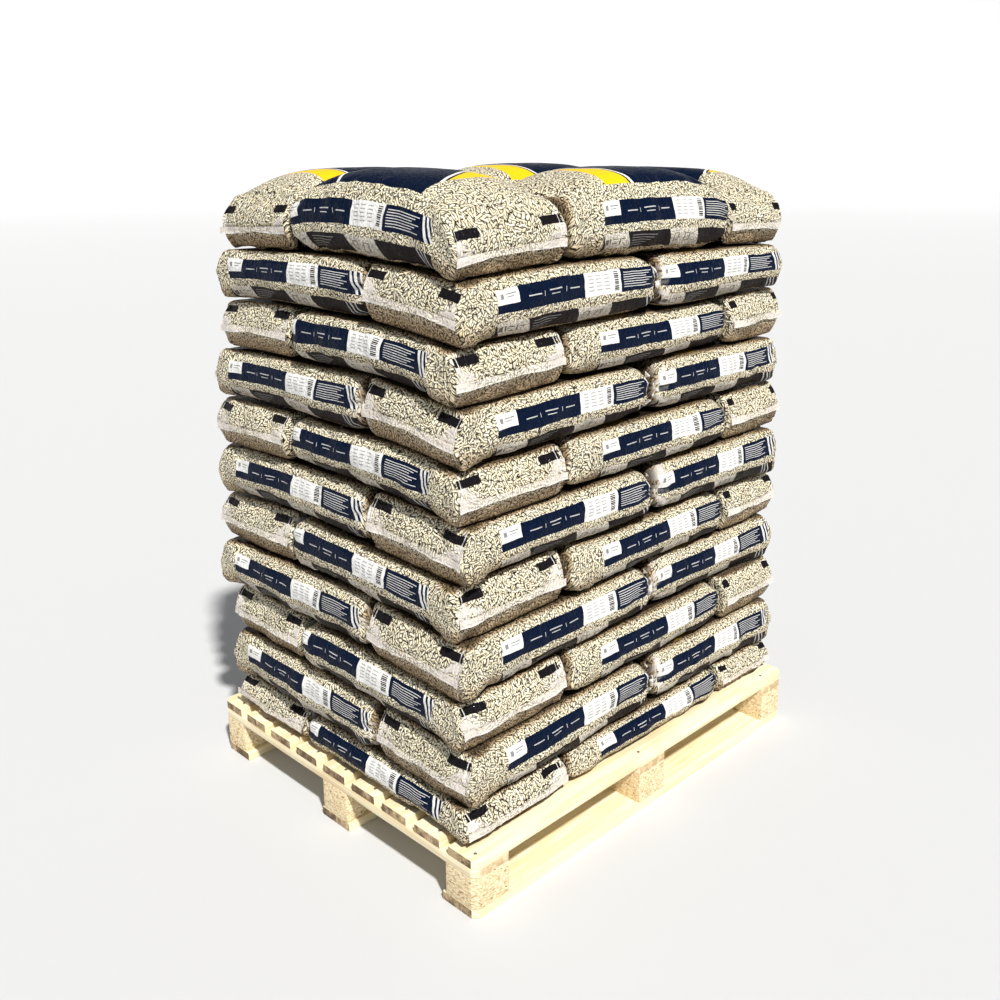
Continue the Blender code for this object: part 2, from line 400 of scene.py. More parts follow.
def loose_pellet_group():
    """A thin scatter of pellets lying every way: one rod in each round cell, its height, rim, tones and lean."""
    tree = bpy.data.node_groups.new("loose_pellets", "ShaderNodeTree")
    for name in ("Vector", "Shift"):
        tree.interface.new_socket(name, in_out="INPUT", socket_type="NodeSocketVector")
    tree.interface.new_socket("Height", in_out="OUTPUT", socket_type="NodeSocketFloat")
    tree.interface.new_socket("Look", in_out="OUTPUT", socket_type="NodeSocketColor")
    tree.interface.new_socket("Lean", in_out="OUTPUT", socket_type="NodeSocketVector")
    given = tree.nodes.new("NodeGroupInput").outputs
    moved = vector_calc(tree, "ADD", given["Vector"], given["Shift"])
    cells = add(tree, "ShaderNodeTexVoronoi", voronoi_dimensions="2D")
    feed(tree, cells.inputs["Vector"], vector_calc(tree, "DIVIDE", moved, (LOOSE_CELL,) * 3))
    cells.inputs["Scale"].default_value = 1.0
    cells.inputs["Randomness"].default_value = 0.8
    centre = vector_calc(tree, "MULTIPLY", cells.outputs["Position"], (LOOSE_CELL,) * 3)
    own = add(tree, "ShaderNodeSeparateColor", cells.outputs["Color"]).outputs
    angle = calc(tree, "MULTIPLY", own[0], math.pi)
    turned = add(tree, "ShaderNodeVectorRotate", rotation_type="Z_AXIS")
    feed(tree, turned.inputs["Vector"], vector_calc(tree, "SUBTRACT", moved, centre))
    feed(tree, turned.inputs["Angle"], angle)
    local = add(tree, "ShaderNodeSeparateXYZ", turned.outputs[0]).outputs
    across = calc(tree, "DIVIDE", local[1], PELLET_RADIUS)
    half_length = calc(tree, "MULTIPLY_ADD", own[1], 0.0034, 0.0044)
    past_end = calc(tree, "SUBTRACT", calc(tree, "ABSOLUTE", local[0]), half_length)
    end = calc(tree, "MAXIMUM", calc(tree, "MULTIPLY_ADD", past_end, 1 / PELLET_END, 1.0), 0.0)
    rim = calc(tree, "MINIMUM", calc(tree, "MAXIMUM", calc(tree, "ABSOLUTE", across), end), 1.0)
    height = calc(tree, "MULTIPLY_ADD", rim, -0.30, calc(tree, "MULTIPLY_ADD", own[2], 0.50, 0.50))
    height = calc(tree, "MULTIPLY", height, calc(tree, "LESS_THAN", rim, 1.0))
    end_lean = calc(tree, "MULTIPLY", calc(tree, "SIGN", local[0]), calc(tree, "MINIMUM", end, 0.9))
    lean = add(tree, "ShaderNodeVectorRotate", rotation_type="Z_AXIS", invert=True)
    feed(tree, lean.inputs["Vector"], add(tree, "ShaderNodeCombineXYZ", end_lean, across, 0.0).outputs[0])
    feed(tree, lean.inputs["Angle"], angle)
    out = tree.nodes.new("NodeGroupOutput")
    feed(tree, out.inputs["Height"], height)
    feed(tree, out.inputs["Look"], add(tree, "ShaderNodeCombineColor", rim, own[1], own[2]).outputs[0])
    feed(tree, out.inputs["Lean"], lean.outputs[0])
    return tree


def packed_pellet_group():
    """Pellets lying close side by side, turned another way in every patch: their rim, tones and lean."""
    tree = bpy.data.node_groups.new("packed_pellets", "ShaderNodeTree")
    tree.interface.new_socket("Vector", in_out="INPUT", socket_type="NodeSocketVector")
    tree.interface.new_socket("Look", in_out="OUTPUT", socket_type="NodeSocketColor")
    tree.interface.new_socket("Lean", in_out="OUTPUT", socket_type="NodeSocketVector")
    place = tree.nodes.new("NodeGroupInput").outputs["Vector"]
    patch = add(tree, "ShaderNodeTexVoronoi", voronoi_dimensions="2D")
    feed(tree, patch.inputs["Vector"], place)
    patch.inputs["Scale"].default_value = 1 / PACKED_PATCH
    angle = calc(tree, "MULTIPLY", add(tree, "ShaderNodeSeparateColor", patch.outputs["Color"]).outputs[0], math.pi)
    turned = add(tree, "ShaderNodeVectorRotate", rotation_type="Z_AXIS")
    feed(tree, turned.inputs["Vector"], place)
    feed(tree, turned.inputs["Angle"], angle)
    scaled = vector_calc(tree, "DIVIDE", turned.outputs[0], PACKED_CELL)
    nearest, second = (add(tree, "ShaderNodeTexVoronoi", voronoi_dimensions="2D", feature=kind) for kind in ("F1", "F2"))
    for cells in (nearest, second):
        feed(tree, cells.inputs["Vector"], scaled)
        cells.inputs["Scale"].default_value = 1.0
        cells.inputs["Randomness"].default_value = 0.75
    gap = calc(tree, "SUBTRACT", second.outputs["Distance"], nearest.outputs["Distance"])
    rim = calc(tree, "MAXIMUM", calc(tree, "MULTIPLY_ADD", gap, -2.0, 1.0), 0.0)
    own = add(tree, "ShaderNodeSeparateColor", nearest.outputs["Color"]).outputs
    off_centre = vector_calc(tree, "SUBTRACT", scaled, nearest.outputs["Position"])
    lean = add(tree, "ShaderNodeVectorRotate", rotation_type="Z_AXIS", invert=True)
    feed(tree, lean.inputs["Vector"], vector_calc(tree, "MULTIPLY", off_centre, (0.9, 1.6, 0.0)))
    feed(tree, lean.inputs["Angle"], angle)
    out = tree.nodes.new("NodeGroupOutput")
    feed(tree, out.inputs["Look"], add(tree, "ShaderNodeCombineColor", rim, own[1], 0.1).outputs[0])
    feed(tree, out.inputs["Lean"], lean.outputs[0])
    return tree


LOOSE_PELLETS, PACKED_PELLETS = loose_pellet_group(), packed_pellet_group()


def pellet_scatter(tree, place):
    """Packed pellets with two thin scatters of loose ones on them: rim and tones of the topmost, and its lean."""
    packed = tree.nodes.new("ShaderNodeGroup")
    packed.node_tree = PACKED_PELLETS
    feed(tree, packed.inputs["Vector"], place)
    top_height, top_look, top_lean = 0.1, packed.outputs["Look"], packed.outputs["Lean"]
    for index in range(2):
        layer = tree.nodes.new("ShaderNodeGroup")
        layer.node_tree = LOOSE_PELLETS
        feed(tree, layer.inputs["Vector"], place)
        layer.inputs["Shift"].default_value = (0.137 * index, 0.071 * index, 0.0)
        height, look, lean = (layer.outputs[name] for name in ("Height", "Look", "Lean"))
        higher = calc(tree, "GREATER_THAN", height, top_height)
        top_look = mix_colour(tree, higher, top_look, look)
        top_lean = mix_colour(tree, higher, top_lean, lean)
        top_height = calc(tree, "MAXIMUM", height, top_height)
    return top_look, top_lean


def pellet_colour(tree, look, shade):
    """Cream pellets, some browner by chance, with painted shade: dark brown in their rims and the gaps between them, a
    little darker for those lying deeper down, and tan towards a sack's underside.
    """
    rim, tone, level = add(tree, "ShaderNodeSeparateColor", look).outputs
    fresh = mix_colour(tree, tone, (0.99, 0.95, 0.78, 1), (0.93, 0.83, 0.58, 1))
    # Painted shade: the pellets turn tan towards a sack's underside.
    shade_tan = calc(tree, "MINIMUM", calc(tree, "MULTIPLY", shade, 1.8), 0.75)
    fresh = mix_colour(tree, shade_tan, fresh, (0.74, 0.50, 0.25, 1))
    # Painted shade: rims and gaps go dark brown, and pellets lying deeper down a little darker.
    body = calc(tree, "MULTIPLY_ADD", step_between(tree, rim, 0.38, 0.84), -1.0, 1.0)
    body = calc(tree, "MULTIPLY", body, calc(tree, "MULTIPLY_ADD", level, 0.16, 0.84))
    return mix_colour(tree, body, (0.026, 0.014, 0.006, 1), fresh)


def inside(tree, value, low, high):
    """One where value lies between low and high, and zero elsewhere."""
    return calc(tree, "COMPARE", value, (low + high) / 2, (high - low) / 2)


def both(tree, first, second):
    return calc(tree, "MULTIPLY", first, second)


def either(tree, first, second):
    return calc(tree, "MAXIMUM", first, second)


def box_mask(tree, s, t, box):
    return both(tree, inside(tree, s, box[0], box[1]), inside(tree, t, box[2], box[3]))


def boxes_mask(tree, s, t, boxes):
    total = box_mask(tree, s, t, boxes[0])
    for box in boxes[1:]:
        total = either(tree, total, box_mask(tree, s, t, box))
    return total


def sack_place(tree):
    """Film coordinates in metres, the pellets' own coordinates, and the print's shift, the slack and the shade."""
    film = add(tree, "ShaderNodeUVMap", uv_map="film").outputs[0]
    place = add(tree, "ShaderNodeUVMap", uv_map="pellets").outputs[0]
    own = add(tree, "ShaderNodeAttribute", attribute_name="sack_look").outputs["Vector"]
    return film, place, add(tree, "ShaderNodeSeparateXYZ", own).outputs


def flat_noise(tree, place, scale, detail, roughness=0.55):
    """Noise over the film, stretched by a scale along and across the sack."""
    made = add(tree, "ShaderNodeTexNoise", noise_dimensions="2D")
    feed(tree, made.inputs["Vector"], vector_calc(tree, "MULTIPLY", place, (*scale, 1.0)))
    made.inputs["Scale"].default_value = 1.0
    made.inputs["Detail"].default_value = detail
    made.inputs["Roughness"].default_value = roughness
    return made.outputs["Fac"]


def film_finish(tree, shader, colour, lean, flatness, creases):
    """Film drawn tight over the pellets: their rounded backs under a clear, creased, glossy skin."""
    feed(tree, shader.inputs["Base Color"], colour)
    shader.inputs["Roughness"].default_value = 0.45
    shader.inputs["Specular IOR Level"].default_value = 0.03
    shader.inputs["Coat Weight"].default_value = 0.09
    shader.inputs["Coat Roughness"].default_value = 0.08
    share = calc(tree, "MULTIPLY_ADD", flatness, -0.75, 0.75)
    scaled = tree.nodes.new("ShaderNodeVectorMath")
    scaled.operation = "SCALE"
    feed(tree, scaled.inputs[0], lean)
    feed(tree, scaled.inputs["Scale"], share)
    relief = add(tree, "ShaderNodeNormalMap", uv_map="pellets")
    feed(tree, relief.inputs["Color"], vector_calc(tree, "ADD", scaled.outputs[0], (0.5, 0.5, 1.0)))
    feed(tree, shader.inputs["Normal"], relief.outputs[0])
    feed(tree, shader.inputs["Coat Normal"], bump(tree, creases, 0.0030, 0.55, relief.outputs[0]))


def band_colour(tree, s, t, colour, band, panels):
    """One printed band: its ink, then its pale panels, fine rules and slashes, each as shares of length and depth."""
    low, high = band
    depth = high - low
    whole = box_mask(tree, s, t, (0.0, PRINT_LENGTH, low, high))
    clear = colour
    colour = mix_colour(tree, whole, colour, panels["ink"])
    for tint, strength, lean, shares in panels["prints"]:
        boxes = [(a * PRINT_LENGTH, b * PRINT_LENGTH, low + c * depth, low + d * depth) for a, b, c, d in shares]
        leaning = calc(tree, "MULTIPLY_ADD", calc(tree, "SUBTRACT", t, low), lean, s) if lean else s
        mask = boxes_mask(tree, leaning, t, boxes)
        if lean:
            mask = both(tree, mask, whole)
        if strength < 1:
            mask = calc(tree, "MULTIPLY", mask, strength)
        colour = mix_colour(tree, mask, colour, clear if tint is None else tint)
    return colour, whole


UPPER_PRINT = {
    "ink": NAVY,
    "prints": (
        (WHITE_INK, 1.0, 0.0, ((0.0, 0.115, 0.0, 0.64), (0.49, 0.715, 0.0, 1.0))),
        (WHITE_INK, 0.62, 0.0, ((0.16, 0.225, 0.47, 0.52), (0.275, 0.345, 0.39, 0.44), (0.285, 0.335, 0.56, 0.60),
                                (0.395, 0.455, 0.47, 0.52), (0.245, 0.248, 0.40, 0.60), (0.37, 0.373, 0.40, 0.60))),
        (WHITE_INK, 0.75, 0.0, tuple((0.735, 0.925 - 0.02 * (n % 3), 0.16 + 0.105 * n, 0.195 + 0.105 * n)
                                     for n in range(7))),
        (WHITE_INK, 0.9, -0.35, ((0.936, 0.950, 0.0, 1.0), (0.962, 0.974, 0.0, 1.0), (0.986, 0.994, 0.0, 1.0))),
        (DARK_INK, 0.7, 0.0, ((0.050, 0.100, 0.20, 0.25), (0.050, 0.088, 0.33, 0.37), (0.018, 0.036, 0.18, 0.40))),
        (DARK_INK, 1.0, 0.0, tuple((0.665, 0.697, 0.10 + n * 0.082, 0.14 + n * 0.082 + 0.012 * (n % 3)) for n in range(10))),
        (DARK_INK, 0.55, 0.0, tuple((0.515 + 0.045 * c, 0.545 + 0.045 * c, 0.14 + 0.15 * r, 0.19 + 0.15 * r)
                                    for c in range(3) for r in range(5))),
    ),
}
LOWER_PRINT = {
    "ink": DARK_INK,
    "prints": (
        (None, 1.0, -0.45, ((0.0, 0.165, 0.0, 1.0), (0.45, 0.655, 0.0, 1.0))),
        (WHITE_INK, 0.40, -0.45, ((0.0, 0.165, 0.0, 0.85), (0.45, 0.655, 0.0, 1.0))),
        (DARK_INK, 0.8, 0.0, ((0.020, 0.044, 0.30, 0.62), (0.055, 0.062, 0.30, 0.62), (0.072, 0.100, 0.30, 0.36),
                              (0.072, 0.100, 0.56, 0.62), (0.110, 0.117, 0.30, 0.62), (0.126, 0.150, 0.30, 0.36))),
        (DARK_INK, 0.7, 0.0, ((0.490, 0.530, 0.25, 0.30), (0.490, 0.530, 0.68, 0.73), (0.490, 0.497, 0.25, 0.73),
                              (0.523, 0.530, 0.25, 0.73), (0.570, 0.610, 0.25, 0.30), (0.570, 0.610, 0.68, 0.73),
                              (0.570, 0.577, 0.25, 0.73), (0.603, 0.610, 0.25, 0.73))),
        (WHITE_INK, 0.30, 0.0, tuple((0.20, 0.36 - 0.02 * n, 0.20 + 0.15 * n, 0.24 + 0.15 * n) for n in range(5))),
        (WHITE_INK, 0.7, -0.35, ((0.90, 0.908, 0.0, 1.0), (0.925, 0.935, 0.0, 1.0), (0.953, 0.961, 0.0, 1.0))),
    ),
}


def top_panel(tree, u, v, colour):
    """A generic panel on the sack's upper face: navy, with slanted yellow and white bars towards its ends."""
    low, high, half = TOP_PANEL
    whole = box_mask(tree, u, v, (low, high, -half, half))
    colour = mix_colour(tree, whole, colour, NAVY)
    slant = calc(tree, "MULTIPLY_ADD", v, 0.55, u)
    yellow = boxes_mask(tree, slant, v, [(low - 0.100, low + 0.024, -half, half)])
    colour = mix_colour(tree, both(tree, yellow, whole), colour, YELLOW_INK)
    white = boxes_mask(tree, slant, v, [(low + 0.030, low + 0.037, -half, half), (0.180, 0.190, -half, half)])
    colour = mix_colour(tree, both(tree, white, whole), colour, WHITE_INK)
    return colour, whole


def film_side_material():
    material, tree, shader = new_material("printed_film_side")
    film, place, (shift, slack, shade) = sack_place(tree)
    look, lean = pellet_scatter(tree, place)
    colour = pellet_colour(tree, look, shade)
    u, v, _ = add(tree, "ShaderNodeSeparateXYZ", film).outputs
    t = calc(tree, "ABSOLUTE", v)
    s = calc(tree, "MULTIPLY_ADD", u, calc(tree, "MULTIPLY", calc(tree, "SIGN", v), -1.0), PRINT_LENGTH / 2)
    s = calc(tree, "SUBTRACT", s, shift)
    creases = flat_noise(tree, place, (95.0, 14.0), 3.0)
    haze = step_between(tree, creases, 0.58, 0.80)
    loose = step_between(tree, calc(tree, "MULTIPLY_ADD", creases, 0.6, slack), 0.70, 1.20)
    veil = calc(tree, "MAXIMUM", calc(tree, "MULTIPLY", haze, 0.14), calc(tree, "MULTIPLY", loose, 0.80))
    colour = mix_colour(tree, veil, colour, MILKY_FILM)
    bare = colour
    colour, upper = band_colour(tree, s, t, colour, UPPER_BAND, UPPER_PRINT)
    colour, lower = band_colour(tree, s, t, colour, LOWER_BAND, LOWER_PRINT)
    colour, panel = top_panel(tree, u, v, colour)
    printed = either(tree, either(tree, upper, lower), panel)
    scuffed = calc(tree, "MULTIPLY_ADD", haze, 0.015, calc(tree, "MULTIPLY", loose, 0.22))
    colour = mix_colour(tree, both(tree, scuffed, printed), colour, bare)
    # Painted shade: film, pellets and print darken towards the sack's underside, in the crevices between layers and at
    # hidden joints.
    colour = mix_colour(tree, shade, colour, CREVICE_SHADE)
    flatness = calc(tree, "MAXIMUM", calc(tree, "MULTIPLY", printed, 0.72), loose)
    film_finish(tree, shader, colour, lean, flatness, creases)
    return material


MARK = (0.083, 0.146, 0.030, 0.046)
FILM_EDGE = (0.1375, 0.1400)
WELD_LINE = -0.002
TOP_END_SHIFT = -0.013
USUAL_HEIGHT = 0.124


def film_end_material():
    """The end of a sack: pellets under film, black register marks at the upper corners, milky folds below them, and
    painted shade below the weld.
    """
    material, tree, shader = new_material("welded_film_end")
    film, place, (shift, slack, shade) = sack_place(tree)
    look, lean = pellet_scatter(tree, place)
    colour = pellet_colour(tree, look, shade)
    across, z, _ = add(tree, "ShaderNodeSeparateXYZ", film).outputs
    across = calc(tree, "ABSOLUTE", across)
    creases = flat_noise(tree, place, (30.0, 75.0), 3.0)
    wavy = calc(tree, "MULTIPLY_ADD", creases, 0.020, -0.010)
    y = calc(tree, "ADD", across, wavy)
    # Painted shade: below the weld line the end is mixed a little towards dark brown, where it faces down.
    lower = calc(tree, "SUBTRACT", 1.0, step_between(tree, z, WELD_LINE - 0.024, WELD_LINE - 0.014))
    colour = mix_colour(tree, calc(tree, "MULTIPLY", lower, 0.26), colour, (0.36, 0.20, 0.09, 1))
    over_weld = both(tree, step_between(tree, z, WELD_LINE - 0.006, WELD_LINE), calc(tree, "LESS_THAN", z, MARK[2]))
    corner = step_between(tree, calc(tree, "MULTIPLY_ADD", z, -1.3, y), 0.078, 0.104)
    streaks = step_between(tree, creases, 0.30, 0.60)
    milky = both(tree, both(tree, over_weld, corner), calc(tree, "MULTIPLY_ADD", streaks, 0.70, 0.12))
    mark = box_mask(tree, across, z, MARK)
    edge = calc(tree, "MULTIPLY", inside(tree, across, *FILM_EDGE), calc(tree, "MULTIPLY_ADD", streaks, 0.5, 0.35))
    colour = mix_colour(tree, milky, colour, MILKY_FILM)
    colour = mix_colour(tree, mark, colour, (0.008, 0.007, 0.009, 1))
    colour = mix_colour(tree, edge, colour, (0.80, 0.78, 0.76, 1))
    # Painted shade: the end darkens towards its underside, in the crevices between layers and at hidden joints.
    colour = mix_colour(tree, shade, colour, CREVICE_SHADE)
    film_finish(tree, shader, colour, lean, calc(tree, "MAXIMUM", calc(tree, "MULTIPLY", mark, 0.6), milky), creases)
    return material


def weld_material():
    """Film welded to itself along the end seam: milky at the corners and clearer in the middle, finely ribbed."""
    material, tree, shader = new_material("milky_weld")
    film, place, (shift, slack, shade) = sack_place(tree)
    look, lean = pellet_scatter(tree, place)
    colour = pellet_colour(tree, look, 0.0)
    cloud = flat_noise(tree, place, (26.0, 120.0), 3.0, 0.6)
    share = step_between(tree, calc(tree, "MULTIPLY_ADD", slack, 0.55, cloud), 0.38, 1.05)
    share = calc(tree, "MULTIPLY_ADD", share, 0.50, 0.34)
    colour = mix_colour(tree, share, colour, (0.74, 0.68, 0.64, 1))
    colour = mix_colour(tree, shade, colour, (0.88, 0.87, 0.86, 1))
    film_finish(tree, shader, colour, lean, share, cloud)
    shader.inputs["Coat Weight"].default_value = 0.4
    return material


SACK_MATERIALS = (film_side_material(), film_end_material(), weld_material())
SIDE, END, WELD = range(3)


def cosine_spread(count, squeeze):
    """Places from minus one to one, closer together towards both ends as squeeze nears one."""
    even = np.linspace(-1, 1, count + 1)
    return (1 - squeeze) * even + squeeze * np.sin(even * math.pi / 2)


class Lattice:
    """The surface of a box from minus one to one, in small faces: a tube along X, closed by a cap at each end."""

    def __init__(self, along, across, up):
        columns, rows, levels = cosine_spread(along, 0.35), cosine_spread(across, 0.30), cosine_spread(up, 0.0)
        half = across // 2
        ring = [(j, up) for j in range(half, across)]
        ring += [(across, k) for k in range(up, 0, -1)]
        ring += [(j, 0) for j in range(across, 0, -1)]
        ring += [(0, k) for k in range(up)]
        ring += [(j, up) for j in range(half)]
        numbers, points = {}, []
        for i in range(along + 1):
            for j, k in ring:
                numbers[i, j, k] = len(points)
                points.append((columns[i], rows[j], levels[k]))
        for i in (0, along):
            for j in range(1, across):
                for k in range(1, up):
                    numbers[i, j, k] = len(points)
                    points.append((columns[i], rows[j], levels[k]))
        self.points = np.array(points)
        self.rings = np.arange((along + 1) * len(ring)).reshape(along + 1, len(ring))
        width = len(ring)
        faces, on_cap = [], []
        for i in range(along):
            for r in range(width):
                after = (r + 1) % width
                faces.append((i * width + r, i * width + after, (i + 1) * width + after, (i + 1) * width + r))
        on_cap += [False] * len(faces)
        for i in (0, along):
            for j in range(across):
                for k in range(up):
                    face = [numbers[i, j, k], numbers[i, j + 1, k], numbers[i, j + 1, k + 1], numbers[i, j, k + 1]]
                    faces.append(tuple(face if i else face[::-1]))
                    on_cap.append(True)
        self.faces, self.on_cap = faces, on_cap
        self.width = width

    def round_film(self, local):
        """Distance round the film from the middle of the top, positive down the far side and negative down the near."""
        loops = local[self.rings][:, :, 1:]
        steps = np.linalg.norm(np.roll(loops, -1, axis=1) - loops, axis=2)
        far = np.zeros((len(loops), self.width + 1))
        far[:, 1:] = np.cumsum(steps, axis=1)
        return far, far - far[:, -1:]


def smooth_rise(value):
    value = np.clip(value, 0, 1)
    return value * value * (3 - 2 * value)


SACK_SHOULDER = 0.055
SECTION_POWER = 2.25
END_SHOULDER = 0.014
NOSE_ROUNDING = 0.034
NOSE_LENGTH = 0.078
NOSE_NARROWING = (0.022, 0.016)
FREE_END_ROUNDING = 0.007
END_WEDGE = (0.034, 0.022)
TOP_END_WEDGE = (0.046, 0.022)
GUSSET_DEPTH = 0.012
SIDE_BOW = 0.003
TOP_LAYER_BODY = 0.128
TOP_CROWN = 0.050


def sack_section(y, z, shoulder, half_width, half_height, rise):
    """Rounds the long edges of a box section. shoulder is the width of the rounding, and rise its height."""
    core_y, core_z = half_width - shoulder, half_height - rise
    rest_y, rest_z = np.clip(y * half_width, -core_y, core_y), np.clip(z * half_height, -core_z, core_z)
    off_y, off_z = np.abs(y * half_width - rest_y) / shoulder, np.abs(z * half_height - rest_z) / rise
    reach = np.maximum((off_y**SECTION_POWER + off_z**SECTION_POWER) ** (1 / SECTION_POWER), 1e-9)
    scale = np.where(reach > 1e-6, np.maximum(off_y, off_z) / reach, 0.0)
    return rest_y + np.sign(y) * off_y * scale * shoulder, rest_z + np.sign(z) * off_z * scale * rise


class Sack:
    """One sack of a layer: where it lies, how long and wide it is, and which of its sides are free."""

    def __init__(self, layer, cell, low, high):
        left, right, near, far = LAYER_CELLS[cell]
        if layer % 2 == 1:
            left, right = LAYER_COLUMNS - right, LAYER_COLUMNS - left
            near, far = LAYER_ROWS - far, LAYER_ROWS - near
        columns = [low[0] + share * (high[0] - low[0]) for share in COLUMN_LINES[layer % 2]]
        rows = [low[1] + share * (high[1] - low[1]) for share in ROW_LINES]
        self.layer, self.cell = layer, cell
        self.on_top = layer == len(LAYER_BASES) - 1
        self.number = layer * len(LAYER_CELLS) + cell
        self.centre = np.array([(columns[left] + columns[right]) / 2, (rows[near] + rows[far]) / 2])
        self.along_x = right - left > far - near
        size = (columns[right] - columns[left], rows[far] - rows[near])
        self.half_length, self.half_width = max(size) / 2, min(size) / 2
        self.height = TOP_LAYER_BODY if self.on_top else high[2] - low[2]
        x_free, y_free = (left == 0, right == LAYER_COLUMNS), (near == 0, far == LAYER_ROWS)
        self.free_ends, self.free_sides = (x_free, y_free) if self.along_x else (y_free, x_free[::-1])
        self.hidden = not any(self.free_ends + self.free_sides)
        self.draw = random.Random(self.number)
        drift = PRINT_DRIFT[layer % 2][cell] + self.draw.uniform(-0.006, 0.006)
        self.shifts = (drift, drift)
        self.looseness = FILM_LOOSENESS[layer % 2][cell] * self.draw.uniform(0.8, 1.2)
        self.set_back = self.draw.uniform(0.005, 0.014) if layer % 2 == 0 and cell == 4 else 0.0

    def to_world(self, points):
        """Turns local points, with the sack along X, to where the sack lies."""
        made = points.copy()
        if not self.along_x:
            made[:, 0], made[:, 1] = -points[:, 1], points[:, 0]
        made[:, :2] += self.centre
        return made

    def settle(self, points):
        """Puts local points in the stack, between the surfaces below and above this sack's layer."""
        made = self.to_world(points)
        base, top = boundary(self.layer, made[:, :2]), boundary(self.layer + 1, made[:, :2])
        made[:, 2] = base + FILM_GAP + (points[:, 2] / self.height + 0.5) * (top - base - 2 * FILM_GAP)
        return made


def vertex_normals(points, faces):
    corners = points[np.array(faces)]
    face_normals = np.cross(corners[:, 2] - corners[:, 0], corners[:, 3] - corners[:, 1])
    made = np.zeros_like(points)
    for corner in range(4):
        np.add.at(made, np.array(faces)[:, corner], face_normals)
    return made / np.maximum(np.linalg.norm(made, axis=1, keepdims=True), 1e-12)


FILM_GAP = 0.0006
CORNER_SAG = 0.020
END_ARCH = 0.018
SIDE_DIP = 0.008
SIDE_RISE = 0.012
TOP_MOUND = 0.014
LAYER_BASES = []
for layer in range(11):
    low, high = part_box(f"sack_layer_{layer + 1:02d}")
    LAYER_BASES.append((np.array(low), np.array(high)))


def boundary(level, plan):
    """Height of the surface between two layers, which dips and rises a little over the load."""
    if level == 0:
        return np.full(len(plan), LAYER_BASES[0][0][2])
    low, high = LAYER_BASES[min(level, len(LAYER_BASES) - 1)]
    x, y = np.clip((plan - (low[:2] + high[:2]) / 2) * 2 / (high[:2] - low[:2]), -1, 1).T
    left, near = np.clip(-x, 0, 1), np.clip(-y, 0, 1)
    side_arch = SIDE_RISE if level > 9 else -SIDE_DIP
    arch = END_ARCH * left**2 * (1 - y * y) + side_arch * near**2 * (1 - x * x)
    arch = (arch - CORNER_SAG * left**3 * near**3) * level / len(LAYER_BASES)
    if level == len(LAYER_BASES):
        return low[2] + TOP_LAYER_BODY + arch + TOP_MOUND * (1 - x * x) * (1 - y * y)
    points = np.column_stack([plan, np.zeros(len(plan))])
    return low[2] + 0.0040 * sine_noise(points, 0.50, 900 + level) + arch


def by_side(values, sign):
    """The first of two values where sign is below zero, and the second elsewhere."""
    return np.where(sign > 0, float(values[1]), float(values[0]))


def quarter_round(share):
    """Rises from 0 at share 0 to 1 at share 1 as a quarter of a circle does."""
    return 1 - np.sqrt(1 - np.clip(share, 0, 1) ** 2)


